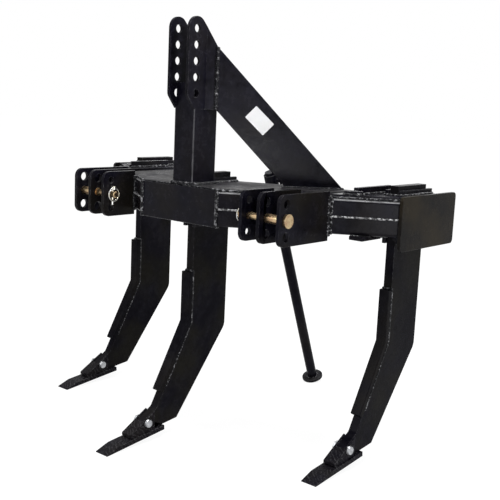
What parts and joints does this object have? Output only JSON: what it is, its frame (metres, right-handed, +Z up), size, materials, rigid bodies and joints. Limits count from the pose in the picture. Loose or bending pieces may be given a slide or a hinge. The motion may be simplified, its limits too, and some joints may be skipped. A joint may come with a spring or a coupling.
{
  "type": "subsoiler",
  "caption": "Mounted subsoiler: V-shaped box frame with raked shanks and chisel points, braced mast, hitch plates with pins and a parking stand.",
  "frame": {"origin": "on the floor, at the middle of the part's outline seen from above", "axes": "+X to the machine's right side seen from behind, -Y the way it is pulled, +Z up"},
  "size_m": [1.32, 1.1412, 1.362],
  "materials": {
    "frame_paint": "satin",
    "mast_paint": "satin",
    "shank_paint": "satin",
    "shin_paint": "satin",
    "point_paint": "satin",
    "stand_paint": "satin",
    "pin_plating": "yellow zinc plated",
    "linch_plating": "zinc plated",
    "bolt_plating": "zinc plated"
  },
  "bodies": {
    "machine": {"arm_lower_left": "frame_paint", "arm_lower_right": "frame_paint", "arm_ribs": "frame_paint", "arm_upper_left": "frame_paint", "arm_upper_right": "frame_paint", "bottom_plate": "frame_paint", "brace_left": "mast_paint", "brace_right": "mast_paint", "end_plate_left": "frame_paint", "end_plate_right": "frame_paint", "front_plate": "frame_paint", "hitch_pin_left": "pin_plating", "hitch_pin_right": "pin_plating", "hitch_plate_inner_left": "mast_paint", "hitch_plate_inner_right": "mast_paint", "hitch_plate_middle_left": "mast_paint", "hitch_plate_middle_right": "mast_paint", "hitch_plate_outer_left": "mast_paint", "hitch_plate_outer_right": "mast_paint", "linch_pins": "linch_plating", "mast_post": "mast_paint", "point_bolts": "bolt_plating", "point_center": "point_paint", "point_left": "point_paint", "point_right": "point_paint", "rear_tube": "frame_paint", "shank_bolts": "bolt_plating", "shank_center": "shank_paint", "shank_left": "shank_paint", "shank_pocket_center": "frame_paint", "shank_pocket_left": "frame_paint", "shank_pocket_right": "frame_paint", "shank_right": "shank_paint", "shin_center": "shin_paint", "shin_left": "shin_paint", "shin_right": "shin_paint", "stand_screw": "stand_paint", "stand_sleeve": "stand_paint", "top_link_plate_left": "mast_paint", "top_link_plate_right": "mast_paint", "top_plate": "frame_paint", "wing_bottom_plates": "frame_paint", "wing_inner_plates": "frame_paint", "wing_top_plates": "frame_paint"},
    "stand": {"stand_leg": "stand_paint"}
  },
  "joints": [
    {"name": "stand_slide", "type": "slide", "parent": "machine", "child": "stand", "axis": [0, -0.373, 0.9278], "range_m": [0, 0.4]}
  ]
}
